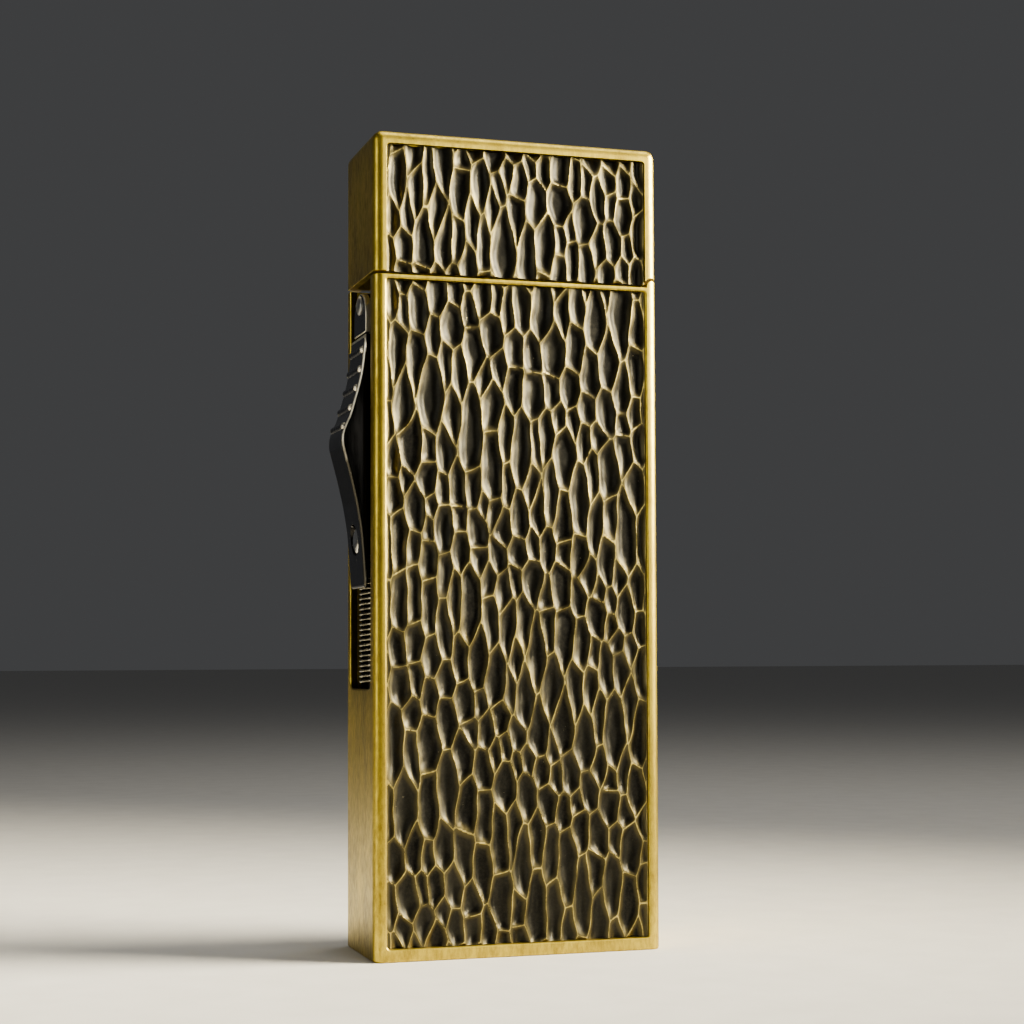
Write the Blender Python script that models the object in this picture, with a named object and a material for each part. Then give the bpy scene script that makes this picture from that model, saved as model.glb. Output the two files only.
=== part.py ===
"""Side-lever pocket lighter: brass case with hammered inlays, flush-hinged lid, thumb lever in a side channel.

Frame: +Z up, origin at the centre of the base, -Y is the front, -X is the side with the lever.
All dimensions below are in millimetres and are turned into metres when a mesh is made.
"""
import math

import bmesh
import bpy
from mathutils import Matrix, Vector

MM = 0.001

# Case
HALF_W, HALF_D, HEIGHT = 13.85, 5.85, 76.0
SEAM, SEAM_GAP = 62.8, 0.3
CORNER_R, LID_TOP_R = 0.85, 0.9
SIDE_WALL, CAVITY_D = 0.7, 4.3
CAVITY_W = HALF_W - SIDE_WALL
BORDER, INLAY_RECESS, WINDOW_R = 1.2, 1.0, 0.8
GAP = 0.3

# Hinge on the +X side, flush with the side and the two faces
HINGE_X, HINGE_Z, KNUCKLE_R, HINGE_PIN_R = 13.35, SEAM, 0.5, 0.22
LID_SWING_DEG = 90.0

# Thumb lever and its channel
SLOT_HALF, SLOT_BOTTOM = 4.2, 24.6
LEVER_HALF, LEVER_INNER_X = 2.9, -13.3
TRAVEL = 5.5
RIDGE_R, RIDGES_Z = 0.34, (56.1, 54.3, 52.5, 50.65, 48.9)
SCREW_Z, RIVET_Z = 38.5, 60.6
SPRING_X, SPRING_R, SPRING_WIRE_R, SPRING_PITCH = -11.9, 1.68, 0.17, 0.64
SPRING_Z0, SPRING_Z1 = 24.9, 36.9

# Striker
AXLE_X, AXLE_Z, AXLE_R = -7.4, 55.4, 0.5
WHEEL_R, WHEEL_TEETH = 3.2, 28
PINION_R, PINION_TEETH = 1.6, 8
RUN_FIT = 0.08
FLINT_X = AXLE_X

# Rocker that lifts the lid
ROCKER_X, ROCKER_Z = 4.4, 57.5
ROCKER_Y0, ROCKER_Y1 = -3.5, -2.9
ROCKER_TURN = 0.3351
DRIVE_PIN_X, DRIVE_PIN_Z, DRIVE_PIN_R = -12.2, 60.0, 0.45
LID_PIN_REACH = 2.6

# Deck, fuel tank and base
DECK_Z0, DECK_Z1 = 50.5, 51.5
TANK_X0, TANK_X1, TANK_Z0, TANK_WALL = -5.5, 12.85, 2.6, 0.5
BASE_T, FILLER_X = 1.8, 6.0


# ---------------------------------------------------------------- scene and helpers
for old in list(bpy.data.objects):
    bpy.data.objects.remove(old, do_unlink=True)

PARTS = bpy.data.collections.new("side_lever_lighter")
CUTTERS = bpy.data.collections.new("cutters")
for collection in (PARTS, CUTTERS):
    bpy.context.scene.collection.children.link(collection)


def material(name, rgb, metallic, roughness):
    mat = bpy.data.materials.new(name)
    mat.use_nodes = True
    shader = mat.node_tree.nodes["Principled BSDF"]
    shader.inputs["Base Color"].default_value = (*rgb, 1.0)
    shader.inputs["Metallic"].default_value = metallic
    shader.inputs["Roughness"].default_value = roughness
    return mat


BRASS = ((0.60, 0.42, 0.14), 1.0, 0.38)
INLAY = ((0.09, 0.08, 0.065), 1.0, 0.45)
BLACK_NICKEL = ((0.045, 0.045, 0.045), 1.0, 0.22)
STEEL = ((0.55, 0.55, 0.54), 1.0, 0.3)


def rough_mesh(name, bm):
    bmesh.ops.recalc_face_normals(bm, faces=bm.faces)
    bmesh.ops.scale(bm, vec=(MM, MM, MM), verts=bm.verts)
    mesh = bpy.data.meshes.new(name)
    bm.to_mesh(mesh)
    bm.free()
    return mesh


def part(name, bm, look=None):
    """A named piece from a bmesh in millimetres, or a cutter when it has no look."""
    obj = bpy.data.objects.new(name, rough_mesh(name, bm))
    if look is None:
        CUTTERS.objects.link(obj)
        obj.hide_render = True
        obj.display_type = "WIRE"
    else:
        PARTS.objects.link(obj)
        obj.data.materials.append(material(name + "_finish", *look))
    return obj


def box(x0, x1, y0, y1, z0, z1):
    bm = bmesh.new()
    bmesh.ops.create_cube(bm, size=1.0)
    bmesh.ops.scale(bm, vec=(x1 - x0, y1 - y0, z1 - z0), verts=bm.verts)
    bmesh.ops.translate(bm, vec=((x0 + x1) / 2, (y0 + y1) / 2, (z0 + z1) / 2), verts=bm.verts)
    return bm


def round_edges(bm, radius, segments, chosen):
    edges = [e for e in bm.edges if chosen((e.verts[1].co - e.verts[0].co).normalized(),
                                            (e.verts[0].co + e.verts[1].co) / 2)]
    bmesh.ops.bevel(bm, geom=edges, offset=radius, segments=segments, profile=0.5,
                    affect="EDGES", material=-1)
    return bm


AXES = {"X": Matrix.Rotation(math.radians(90), 4, "Y"),
        "Y": Matrix.Rotation(math.radians(-90), 4, "X"),
        "Z": Matrix.Identity(4)}


def rod(axis, radius, centre, start, end, segments=24, radius2=None):
    """A cylinder or cone along an axis from start to end; centre gives the other two coordinates."""
    bm = bmesh.new()
    bmesh.ops.create_cone(bm, cap_ends=True, segments=segments, radius1=radius,
                          radius2=radius if radius2 is None else radius2, depth=end - start)
    middle = list(centre)
    middle.insert("XYZ".index(axis), (start + end) / 2)
    bm.transform(Matrix.Translation(middle) @ AXES[axis])
    return bm


def prism(axis, outline, start, end):
    """A flat outline in the plane across an axis, extruded from start to end."""
    bm = bmesh.new()
    place = "XYZ".index(axis)
    ring = []
    for u, v in outline:
        co = [u, v]
        co.insert(place, start)
        ring.append(bm.verts.new(co))
    face = bm.faces.new(ring)
    moved = bmesh.ops.extrude_face_region(bm, geom=[face])["geom"]
    step = [0.0, 0.0, 0.0]
    step[place] = end - start
    bmesh.ops.translate(bm, vec=step, verts=[g for g in moved if isinstance(g, bmesh.types.BMVert)])
    return bm


def arc(cx, cz, radius, start_deg, end_deg, steps):
    return [(cx + radius * math.cos(math.radians(start_deg + (end_deg - start_deg) * i / steps)),
             cz + radius * math.sin(math.radians(start_deg + (end_deg - start_deg) * i / steps)))
            for i in range(steps + 1)]


def rounded_rect(u0, u1, v0, v1, radius, steps=4):
    """Corners rounded one by one, in the order lower left, lower right, upper right, upper left."""
    radii = radius if isinstance(radius, tuple) else (radius,) * 4
    corners = ((u0, v0, 180, 1, 1), (u1, v0, 270, -1, 1), (u1, v1, 0, -1, -1), (u0, v1, 90, 1, -1))
    points = []
    for (u, v, start, su, sv), r in zip(corners, radii):
        points += arc(u + su * r, v + sv * r, r, start, start + 90, steps) if r else [(u, v)]
    return points


def turned(profile, segments=24):
    """A solid turned about Z from (radius, height) pairs running from the top to the bottom."""
    bm = bmesh.new()
    verts = [bm.verts.new((r, 0.0, z)) for r, z in profile]
    edges = [bm.edges.new(pair) for pair in zip(verts, verts[1:])]
    bmesh.ops.spin(bm, geom=verts + edges, cent=(0, 0, 0), axis=(0, 0, 1), angle=2 * math.pi,
                   steps=segments, use_merge=True, use_duplicate=False)
    bmesh.ops.remove_doubles(bm, verts=bm.verts, dist=1e-4)
    return bm


def moved(bm, vec):
    bmesh.ops.translate(bm, vec=vec, verts=bm.verts)
    return bm


def boolean(obj, operation, *shapes):
    for index, bm in enumerate(shapes):
        helper = part("{}_{}_{}".format(obj.name, operation.lower(), len(obj.modifiers)), bm)
        step = obj.modifiers.new("{}_{}".format(operation.lower(), index), "BOOLEAN")
        step.operation = operation
        step.solver = "EXACT"
        step.object = helper
    return obj


def cut(obj, *shapes):
    return boolean(obj, "DIFFERENCE", *shapes)


def join(obj, *shapes):
    return boolean(obj, "UNION", *shapes)


def smooth(obj, angle=35):
    obj.data.shade_smooth()
    obj.data.set_sharp_from_angle(angle=math.radians(angle))
    return obj


def coil(name, x, radius, wire_r, z0, z1, pitch, look, per_turn=8):
    """A compression spring as one wire; its ends stop short of the seats by the wire's radius."""
    low, high = z0 + wire_r, z1 - wire_r
    count = int(round((high - low) / pitch * per_turn))
    curve = bpy.data.curves.new(name, "CURVE")
    curve.dimensions = "3D"
    spline = curve.splines.new("POLY")
    spline.points.add(count)
    for i, point in enumerate(spline.points):
        turn = 2 * math.pi * i / per_turn
        point.co = ((x + radius * math.cos(turn)) * MM, radius * math.sin(turn) * MM,
                    (low + (high - low) * i / count) * MM, 1.0)
    curve.bevel_depth = wire_r * MM
    curve.bevel_resolution = 2
    curve.use_fill_caps = True
    obj = bpy.data.objects.new(name, curve)
    PARTS.objects.link(obj)
    curve.materials.append(material(name + "_finish", *look))
    return obj


def vertical(direction, _middle):
    return abs(direction.z) > 0.99


def vertical_or_top(top):
    return lambda d, m: abs(d.z) > 0.99 or m.z > top - 0.01


# ---------------------------------------------------------------- case body
top = SEAM - SEAM_GAP / 2
case_body = part("case_body", round_edges(
    box(-HALF_W, HALF_W, -HALF_D, HALF_D, 0, HINGE_Z + KNUCKLE_R), CORNER_R, 6, vertical), BRASS)
# The rim is level at the seam; at the hinge the two face borders rise into rounded knuckles.
knuckle_side = arc(HINGE_X, HINGE_Z, KNUCKLE_R, 180, 90, 8)
cut(case_body,
    box(-CAVITY_W, CAVITY_W, -CAVITY_D, CAVITY_D, -2, 70),
    prism("Y", [(-16, top), (HINGE_X - KNUCKLE_R, top)] + knuckle_side
          + [(HINGE_X, 66), (-16, 66)], -8, 8),
    prism("Y", arc(HINGE_X, HINGE_Z, KNUCKLE_R, 90, 0, 8) + [(16, HINGE_Z), (16, 66), (HINGE_X, 66)], -8, 8),
    box(HINGE_X - 0.8, 16, -CAVITY_D, CAVITY_D, HINGE_Z - KNUCKLE_R - GAP, 66),
    prism("X", [(-SLOT_HALF, 66)] + rounded_rect(-SLOT_HALF, SLOT_HALF, SLOT_BOTTOM, 65,
                                                (0.8, 0.8, 0, 0))[:-2] + [(SLOT_HALF, 66)], -16, -12.0),
    rod("Y", HINGE_PIN_R + RUN_FIT, (HINGE_X, HINGE_Z), -5.1, 5.1, 20))
for sign in (-1, 1):
    y = sorted((sign * (HALF_D - INLAY_RECESS), sign * 8))
    cut(case_body, prism("Y", rounded_rect(-HALF_W + BORDER, HALF_W - BORDER, BORDER, top - 0.4, WINDOW_R), *y))
smooth(case_body)

base_plate = part("base_plate", round_edges(
    box(-CAVITY_W + GAP, CAVITY_W - GAP, -CAVITY_D + GAP, CAVITY_D - GAP, 0, BASE_T), 0.6, 3, vertical), BRASS)
cut(base_plate, rod("Z", 2.2, (FLINT_X, 0), -1, 3, 28), rod("Z", 2.6, (FILLER_X, 0), -1, 3, 32))

for name, sign in (("front_inlay_body", -1), ("back_inlay_body", 1)):
    y = sorted((sign * 5.6, sign * 5.15))
    part(name, prism("Y", rounded_rect(-HALF_W + BORDER + GAP, HALF_W - BORDER - GAP, BORDER + GAP,
                                       top - 0.4 - GAP, 0.6), *y), INLAY)

# ---------------------------------------------------------------- lid
lid_bottom = SEAM + SEAM_GAP / 2
lid_shell = part("lid_shell", round_edges(
    box(-HALF_W, HALF_W, -HALF_D, HALF_D, lid_bottom, HEIGHT), LID_TOP_R, 6, vertical_or_top(HEIGHT)), BRASS)
relief = KNUCKLE_R + 0.3
cut(lid_shell,
    box(-CAVITY_W, CAVITY_W, -CAVITY_D, CAVITY_D, 60, HEIGHT - 1.1),
    rod("Y", relief, (HINGE_X, HINGE_Z), -8, 8, 40))
for sign in (-1, 1):
    y = sorted((sign * (HALF_D - INLAY_RECESS), sign * 8))
    cut(lid_shell, prism("Y", rounded_rect(-HALF_W + BORDER, HALF_W - BORDER, 60, HEIGHT - BORDER,
                                           (0, 0, WINDOW_R, WINDOW_R)), *y))
smooth(lid_shell)

for name, sign in (("front_inlay_lid", -1), ("back_inlay_lid", 1)):
    y = sorted((sign * 5.6, sign * 5.15))
    part(name, prism("Y", rounded_rect(-HALF_W + BORDER + GAP, HALF_W - BORDER - GAP, lid_bottom + 0.1,
                                       HEIGHT - BORDER - GAP, (0, 0, 0.6, 0.6)), *y), INLAY)
for name in ("front_inlay_lid", "back_inlay_lid"):
    cut(bpy.data.objects[name], rod("Y", relief + 0.2, (HINGE_X, HINGE_Z), -8, 8, 40))

lid_liner = part("lid_liner", box(-12.85, 11.8, -4.0, 4.0, 63.9, 74.6), BLACK_NICKEL)
cut(lid_liner, box(-12.45, 11.4, -3.6, 3.6, 60, 74.2), rod("Z", 1.3, (0, 0), 70, 76, 24))

pin_x = HINGE_X - LID_PIN_REACH * math.cos(math.radians(45))
pin_z = HINGE_Z - LID_PIN_REACH * math.sin(math.radians(45))
lid_hinge_leaf = part("lid_hinge_leaf", rod("Y", KNUCKLE_R, (HINGE_X, HINGE_Z), -4.0, 4.0, 32), BRASS)
join(lid_hinge_leaf,
     box(12.25, 12.85, -3.2, 3.2, 62.9, 70.0),
     box(12.6, 13.25, -3.2, 3.2, 62.9, 63.25),
     prism("Y", [(HINGE_X - 0.1, HINGE_Z + 0.45), (HINGE_X - 0.6, HINGE_Z + 0.4),
                 (pin_x - 0.65, pin_z + 0.1), (pin_x - 0.5, pin_z - 0.5), (pin_x + 0.1, pin_z - 0.65),
                 (HINGE_X - 0.1, HINGE_Z - 0.45)], -2.45, -1.85),
     rod("Y", 0.4, (pin_x, pin_z), -3.6, -2.2, 16))
cut(lid_hinge_leaf, rod("Y", HINGE_PIN_R + RUN_FIT, (HINGE_X, HINGE_Z), -6, 6, 20))
smooth(lid_hinge_leaf)

hinge_pin = smooth(part("hinge_pin", rod("Y", HINGE_PIN_R, (HINGE_X, HINGE_Z), -5.0, 5.0, 20), STEEL))

snuffer_cap = part("snuffer_cap", turned(
    [(0, 74.0), (1.0, 74.0), (1.0, 66.2), (2.3, 66.2), (2.7, 65.8), (2.7, 62.2), (2.3, 62.2),
     (2.3, 65.6), (0, 65.6)], 28), BRASS)
smooth(snuffer_cap)
snuffer_pad = smooth(part("snuffer_pad", rod("Z", 2.0, (0, 0), 62.9, 65.3, 24), ((0.32, 0.30, 0.27), 0.0, 0.9)))

# ---------------------------------------------------------------- side channel
channel_liner = part("channel_liner", box(-12.85, -9.3, -4.0, 4.0, 23.4, 62.45), BLACK_NICKEL)
cut(channel_liner,
    box(-16, -9.6, -3.7, 3.7, SLOT_BOTTOM, 70),
    box(-11.0, -8, -3.7, 3.7, 46.2, 70))
join(channel_liner, rod("Z", 1.1, (SPRING_X, 0), 24.0, 27.6, 20))

return_spring = coil("return_spring", SPRING_X, SPRING_R, SPRING_WIRE_R, SPRING_Z0, SPRING_Z1,
                     SPRING_PITCH, ((0.42, 0.42, 0.41), 1.0, 0.25))

# The lever: a concave ridged ramp, a peak, and a long convex tail down to the screw.
lever_side = [(-14.04, 57.4), (-14.11, 56.4), (-14.26, 55.0), (-14.44, 53.8), (-14.69, 52.7), (-15.05, 51.4),
              (-15.49, 49.9), (-15.85, 49.1), (-16.17, 48.15), (-16.21, 47.25), (-16.02, 46.5),
              (-15.49, 44.5), (-14.97, 42.3), (-14.72, 41.0), (-14.48, 39.5), (-14.36, 38.1),
              (-14.28, 36.3), (-14.22, 35.2), (-14.0, 34.55), (-13.7, 34.4)]


def lever_x(z):
    for (x0, z0), (x1, z1) in zip(lever_side, lever_side[1:]):
        if z1 <= z <= z0:
            return x0 + (x1 - x0) * (z0 - z) / (z0 - z1)
    raise ValueError(z)


thumb_lever = part("thumb_lever", prism(
    "Y", [(LEVER_INNER_X, 57.5), (-13.9, 57.5)] + lever_side + [(LEVER_INNER_X, 34.4)],
    -LEVER_HALF, LEVER_HALF), BLACK_NICKEL)
for z in RIDGES_Z:
    join(thumb_lever, rod("Y", RIDGE_R, (lever_x(z) + 0.05, z), -LEVER_HALF + 0.3, LEVER_HALF - 0.3, 12))
cut(thumb_lever,
    rod("X", 1.5, (0, SCREW_Z), -16, -13.85, 24),
    rod("X", 0.85, (0, SCREW_Z), -16, -12, 20),
    rod("Z", SPRING_R + SPRING_WIRE_R + 0.2, (SPRING_X, 0), 30, SPRING_Z1 + 0.3, 32))
smooth(thumb_lever, 25)

lever_screw = part("lever_screw", rod("X", 0.55, (0, SCREW_Z), -14.1, -12.0, 16), STEEL)
head = rod("X", 0.75, (0, SCREW_Z), -14.45, -13.98, 20, radius2=1.2)
join(lever_screw, head)
smooth(lever_screw)

lever_strap = part("lever_strap", prism(
    "X", [(2.4, 57.8)] + arc(0, 59.3, 2.4, 0, 180, 14) + [(-2.4, 57.8)], -13.85, -13.3), BLACK_NICKEL)
cut(lever_strap, rod("X", 0.8, (0, RIVET_Z), -16, -12, 20))

strap_rivet = part("strap_rivet", rod("X", 0.5, (0, RIVET_Z), -14.0, -12.3, 16), STEEL)
join(strap_rivet, rod("X", 0.65, (0, RIVET_Z), -14.2, -13.95, 20, radius2=1.15))
smooth(strap_rivet)

# Slide carriage: one bar behind the lever, a cup that holds the spring's top, and the wheel's rack.
rack_pitch = 2 * math.pi * PINION_R / PINION_TEETH
rack_x = AXLE_X - PINION_R
slide_carriage = part("slide_carriage", box(-13.0, -11.4, -2.5, 3.2, 34.7, 61.3), STEEL)
join(slide_carriage,
     box(-12.0, -9.9, -2.5, 2.5, 34.7, 41.0),
     box(-12.0, rack_x - 0.45, 1.9, 3.2, 52.4, 61.3),
     rod("Y", DRIVE_PIN_R, (DRIVE_PIN_X, DRIVE_PIN_Z), -3.6, -2.0, 16))
for i in range(7):
    z = AXLE_Z + rack_pitch * (i - 1.5)
    join(slide_carriage, prism("Y", [(rack_x - 0.6, z - 0.32), (rack_x + 0.3, z - 0.1), (rack_x + 0.3, z + 0.1),
                                     (rack_x - 0.6, z + 0.32)], 1.95, 3.15))
cut(slide_carriage,
    rod("Z", SPRING_R + SPRING_WIRE_R + 0.2, (SPRING_X, 0), 30, SPRING_Z1 + 0.3, 32),
    rod("X", 0.8, (0, SCREW_Z), -16, -11.8, 20),
    rod("X", 0.8, (0, RIVET_Z), -16, -12.0, 20))

# ---------------------------------------------------------------- striker wheel and flint
outline = []
for i in range(WHEEL_TEETH):
    for share, radius in ((0.0, WHEEL_R - 0.25), (0.55, WHEEL_R), (0.8, WHEEL_R)):
        turn = 2 * math.pi * (i + share) / WHEEL_TEETH
        outline.append((AXLE_X + radius * math.cos(turn), AXLE_Z + radius * math.sin(turn)))
striker_wheel = part("striker_wheel", prism("Y", outline, -1.5, 1.5), STEEL)
cut(striker_wheel, rod("Y", AXLE_R + RUN_FIT, (AXLE_X, AXLE_Z), -3, 3, 24))

outline = []
for i in range(PINION_TEETH):
    for share, radius in ((-0.3, PINION_R - 0.5), (-0.2, PINION_R - 0.1), (-0.1, PINION_R + 0.3),
                          (0.1, PINION_R + 0.3), (0.2, PINION_R - 0.1), (0.3, PINION_R - 0.5)):
        # A rack tooth stands level with the axle half a pitch off, so a pinion space faces it.
        turn = 2 * math.pi * (i + share) / PINION_TEETH + math.pi
        outline.append((AXLE_X + radius * math.cos(turn), AXLE_Z + radius * math.sin(turn)))
wheel_pinion = part("wheel_pinion", prism("Y", outline, 1.8, 3.2), STEEL)
cut(wheel_pinion, rod("Y", AXLE_R + RUN_FIT, (AXLE_X, AXLE_Z), 1, 4, 24))

wheel_axle = smooth(part("wheel_axle", rod("Y", AXLE_R, (AXLE_X, AXLE_Z), -2.7, 3.95, 24), STEEL))

deck_plate = part("deck_plate", box(-9.0, 12.6, -4.0, 4.0, DECK_Z0, DECK_Z1), BLACK_NICKEL)
for x, z, y0, y1 in ((AXLE_X, AXLE_Z, -2.4, -1.9), (AXLE_X, AXLE_Z, 3.5, 4.0),
                     (ROCKER_X, ROCKER_Z, -2.6, -2.1)):
    join(deck_plate, prism("Y", [(x - 1.4, DECK_Z1 - 0.2), (x + 1.4, DECK_Z1 - 0.2)]
                           + arc(x, z, 1.1, 0, 180, 10), y0, y1))
cut(deck_plate,
    box(-9.5, -8.3, 0.0, 3.45, 50, 53),
    rod("Y", AXLE_R + 0.05, (AXLE_X, AXLE_Z), -4, 4.5, 24),
    rod("Y", 0.55, (ROCKER_X, ROCKER_Z), -4, -1.5, 20),
    rod("Z", 1.9, (FLINT_X, 0), 40, 52.5, 28),
    rod("Z", 1.9, (0, 0), 40, 52.5, 28))

flint_tube = part("flint_tube", rod("Z", 1.6, (FLINT_X, 0), 2.1, 51.8, 28), BRASS)
cut(flint_tube, rod("Z", 1.3, (FLINT_X, 0), 0, 60, 28))
smooth(flint_tube)
flint = smooth(part("flint", rod("Z", 1.12, (FLINT_X, 0), 45.6, 52.0, 20), ((0.12, 0.12, 0.13), 0.6, 0.6)))
flint_spring = coil("flint_spring", FLINT_X, 0.85, 0.17, 5.2, 45.4, 2.0, ((0.5, 0.5, 0.5), 1.0, 0.3))

flint_screw = part("flint_screw", moved(turned(
    [(0, 4.9), (1.05, 4.9), (1.05, 1.6), (1.9, 1.6), (1.9, 0.5), (1.7, 0.3), (0, 0.3)], 28), (FLINT_X, 0, 0)), BRASS)
cut(flint_screw, box(FLINT_X - 3, FLINT_X + 3, -0.3, 0.3, -1, 0.8))

# ---------------------------------------------------------------- fuel side
fuel_tank = part("fuel_tank", box(TANK_X0, TANK_X1, -4.0, 4.0, TANK_Z0, DECK_Z0 - GAP), STEEL)
cut(fuel_tank,
    box(TANK_X0 + TANK_WALL, TANK_X1 - TANK_WALL, -3.5, 3.5, TANK_Z0 + TANK_WALL, DECK_Z0 - GAP - TANK_WALL),
    rod("Z", 1.9, (FILLER_X, 0), 0, 4, 28),
    rod("Z", 1.9, (0, 0), 45, 52, 28))

cotton_packing = part("cotton_packing", box(TANK_X0 + 0.8, TANK_X1 - 0.8, -3.2, 3.2, 6.4, 49.4),
                      ((0.85, 0.83, 0.78), 0.0, 0.95))
cut(cotton_packing, rod("Z", 1.3, (0, 0), 27, 55, 20))
felt_pad = part("felt_pad", box(TANK_X0 + 0.8, TANK_X1 - 0.8, -3.2, 3.2, 3.4, 6.1), ((0.55, 0.53, 0.48), 0.0, 0.95))
cut(felt_pad, rod("Z", 2.0, (FILLER_X, 0), 2, 5.6, 24))

wick = smooth(part("wick", rod("Z", 0.95, (0, 0), 27.5, 58.8, 20), ((0.8, 0.78, 0.72), 0.0, 0.95)))
wick_ferrule = part("wick_ferrule", turned(
    [(1.15, 53.6), (1.6, 53.6), (1.6, 49.9), (1.15, 49.9), (1.15, 53.6)], 24), BRASS)

filler_screw = part("filler_screw", moved(turned(
    [(0, 5.0), (1.6, 5.0), (1.6, 1.5), (2.3, 1.5), (2.3, 0.5), (2.1, 0.3), (0, 0.3)], 32), (FILLER_X, 0, 0)), BRASS)
cut(filler_screw, box(FILLER_X - 3, FILLER_X + 3, -0.4, 0.4, -1, 0.9))
ring = bmesh.new()
section = [ring.verts.new((2.1 + 0.22 * math.cos(a), 0, 2.05 + 0.22 * math.sin(a)))
           for a in (math.radians(45 * k) for k in range(8))]
loop = [ring.edges.new((section[k], section[(k + 1) % 8])) for k in range(8)]
bmesh.ops.spin(ring, geom=section + loop, cent=(0, 0, 0), axis=(0, 0, 1), angle=2 * math.pi,
               steps=28, use_merge=True, use_duplicate=False)
filler_seal = part("filler_seal", moved(ring, (FILLER_X, 0, 0)), ((0.02, 0.02, 0.02), 0.0, 0.6))

# ---------------------------------------------------------------- wind guard round the wick
wind_guard = part("wind_guard", rod("Z", 2.4, (0, 0), 51.8, 61.8, 36), STEEL)
cut(wind_guard, rod("Z", 2.05, (0, 0), 50, 63, 36), box(-4, -1.35, -1.5, 1.5, 53.6, 60.4))
for row, z in enumerate((54.6, 57.0, 59.4)):
    cut(wind_guard, rod("Y", 0.55, (0.1, z), -4, 4, 12), rod("X", 0.55, (0, z), 0.5, 4, 12))

# ---------------------------------------------------------------- rocker between the slide and the lid
rest_reach = math.hypot(pin_x - ROCKER_X, pin_z - ROCKER_Z)
aim = math.atan2(pin_z - ROCKER_Z, pin_x - ROCKER_X)
tip = (math.cos(aim), math.sin(aim))
side = (-tip[1], tip[0])


def along(reach, offset):
    return (ROCKER_X + tip[0] * reach + side[0] * offset, ROCKER_Z + tip[1] * reach + side[1] * offset)


lid_rocker = part("lid_rocker", rod("Y", 1.3, (ROCKER_X, ROCKER_Z), ROCKER_Y0, ROCKER_Y1, 28), STEEL)
join(lid_rocker,
     prism("Y", [(ROCKER_X, ROCKER_Z + 0.9), (ROCKER_X, ROCKER_Z - 0.9), (DRIVE_PIN_X - 0.1, DRIVE_PIN_Z - 1.1),
                 (DRIVE_PIN_X - 0.7, DRIVE_PIN_Z - 0.6), (DRIVE_PIN_X - 0.7, DRIVE_PIN_Z + 0.6),
                 (DRIVE_PIN_X - 0.1, DRIVE_PIN_Z + 1.1)], ROCKER_Y0, ROCKER_Y1),
     prism("Y", [along(0, -0.9), along(rest_reach - 1.0, -1.5), along(8.8, -1.5), along(9.4, 2.0),
                 along(rest_reach - 1.0, 2.0), along(0, 0.9)], ROCKER_Y0, ROCKER_Y1))
cut(lid_rocker,
    rod("Y", 0.58, (ROCKER_X, ROCKER_Z), -6, 0, 24),
    box(DRIVE_PIN_X - 3, DRIVE_PIN_X + 0.9, -6, 0, DRIVE_PIN_Z - 0.7, DRIVE_PIN_Z + 0.7))
# The slot is cleared along the way the lid's pin takes through the rocker as both turn.
for i in range(9):
    share = i / 8
    swing = math.radians(225 - LID_SWING_DEG * share)
    px = HINGE_X + LID_PIN_REACH * math.cos(swing) - ROCKER_X
    pz = HINGE_Z + LID_PIN_REACH * math.sin(swing) - ROCKER_Z
    back = -ROCKER_TURN * share
    cut(lid_rocker, rod("Y", 0.7, (ROCKER_X + px * math.cos(back) - pz * math.sin(back),
                                   ROCKER_Z + px * math.sin(back) + pz * math.cos(back)), -6, 0, 16))
rocker_pin = smooth(part("rocker_pin", rod("Y", 0.5, (ROCKER_X, ROCKER_Z), -3.8, -1.7, 20), STEEL))

# ---------------------------------------------------------------- joints: one empty on each axis
RIDERS = {
    "slide_axis": ((SPRING_X, 0, SPRING_Z1), ("thumb_lever", "lever_screw", "lever_strap", "strap_rivet",
                                             "slide_carriage")),
    "lid_axis": ((HINGE_X, 0, HINGE_Z), ("lid_shell", "front_inlay_lid", "back_inlay_lid", "lid_liner",
                                         "lid_hinge_leaf", "snuffer_cap", "snuffer_pad")),
    "wheel_axis": ((AXLE_X, 0, AXLE_Z), ("striker_wheel", "wheel_pinion")),
    "rocker_axis": ((ROCKER_X, 0, ROCKER_Z), ("lid_rocker",)),
    "flint_screw_axis": ((FLINT_X, 0, 0.3), ("flint_screw",)),
    "filler_screw_axis": ((FILLER_X, 0, 0.3), ("filler_screw", "filler_seal")),
}
for axis_name, (spot, names) in RIDERS.items():
    empty = bpy.data.objects.new(axis_name, None)
    empty.empty_display_size = 0.004
    empty.location = Vector(spot) * MM
    PARTS.objects.link(empty)
    for name in names:
        rider = bpy.data.objects[name]
        rider.parent = empty
        rider.matrix_parent_inverse = Matrix.Translation(-Vector(spot) * MM)
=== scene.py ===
# %% [markdown]
# # A side-lever pocket lighter
# The lighter is a slim brass case with a blackened, hammered inlay on each wide face. A thumb lever
# slides down a channel in one narrow side against a spring, and that opens the lid and turns the flint
# wheel. The frame already holds every working piece at its true size. This lesson dresses it: the
# pieces that show most get finer meshes, and every piece gets a finish made of nodes.

# %% The frame
import math

import bmesh
import bpy
import numpy as np
from mathutils import Matrix, Vector


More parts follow.
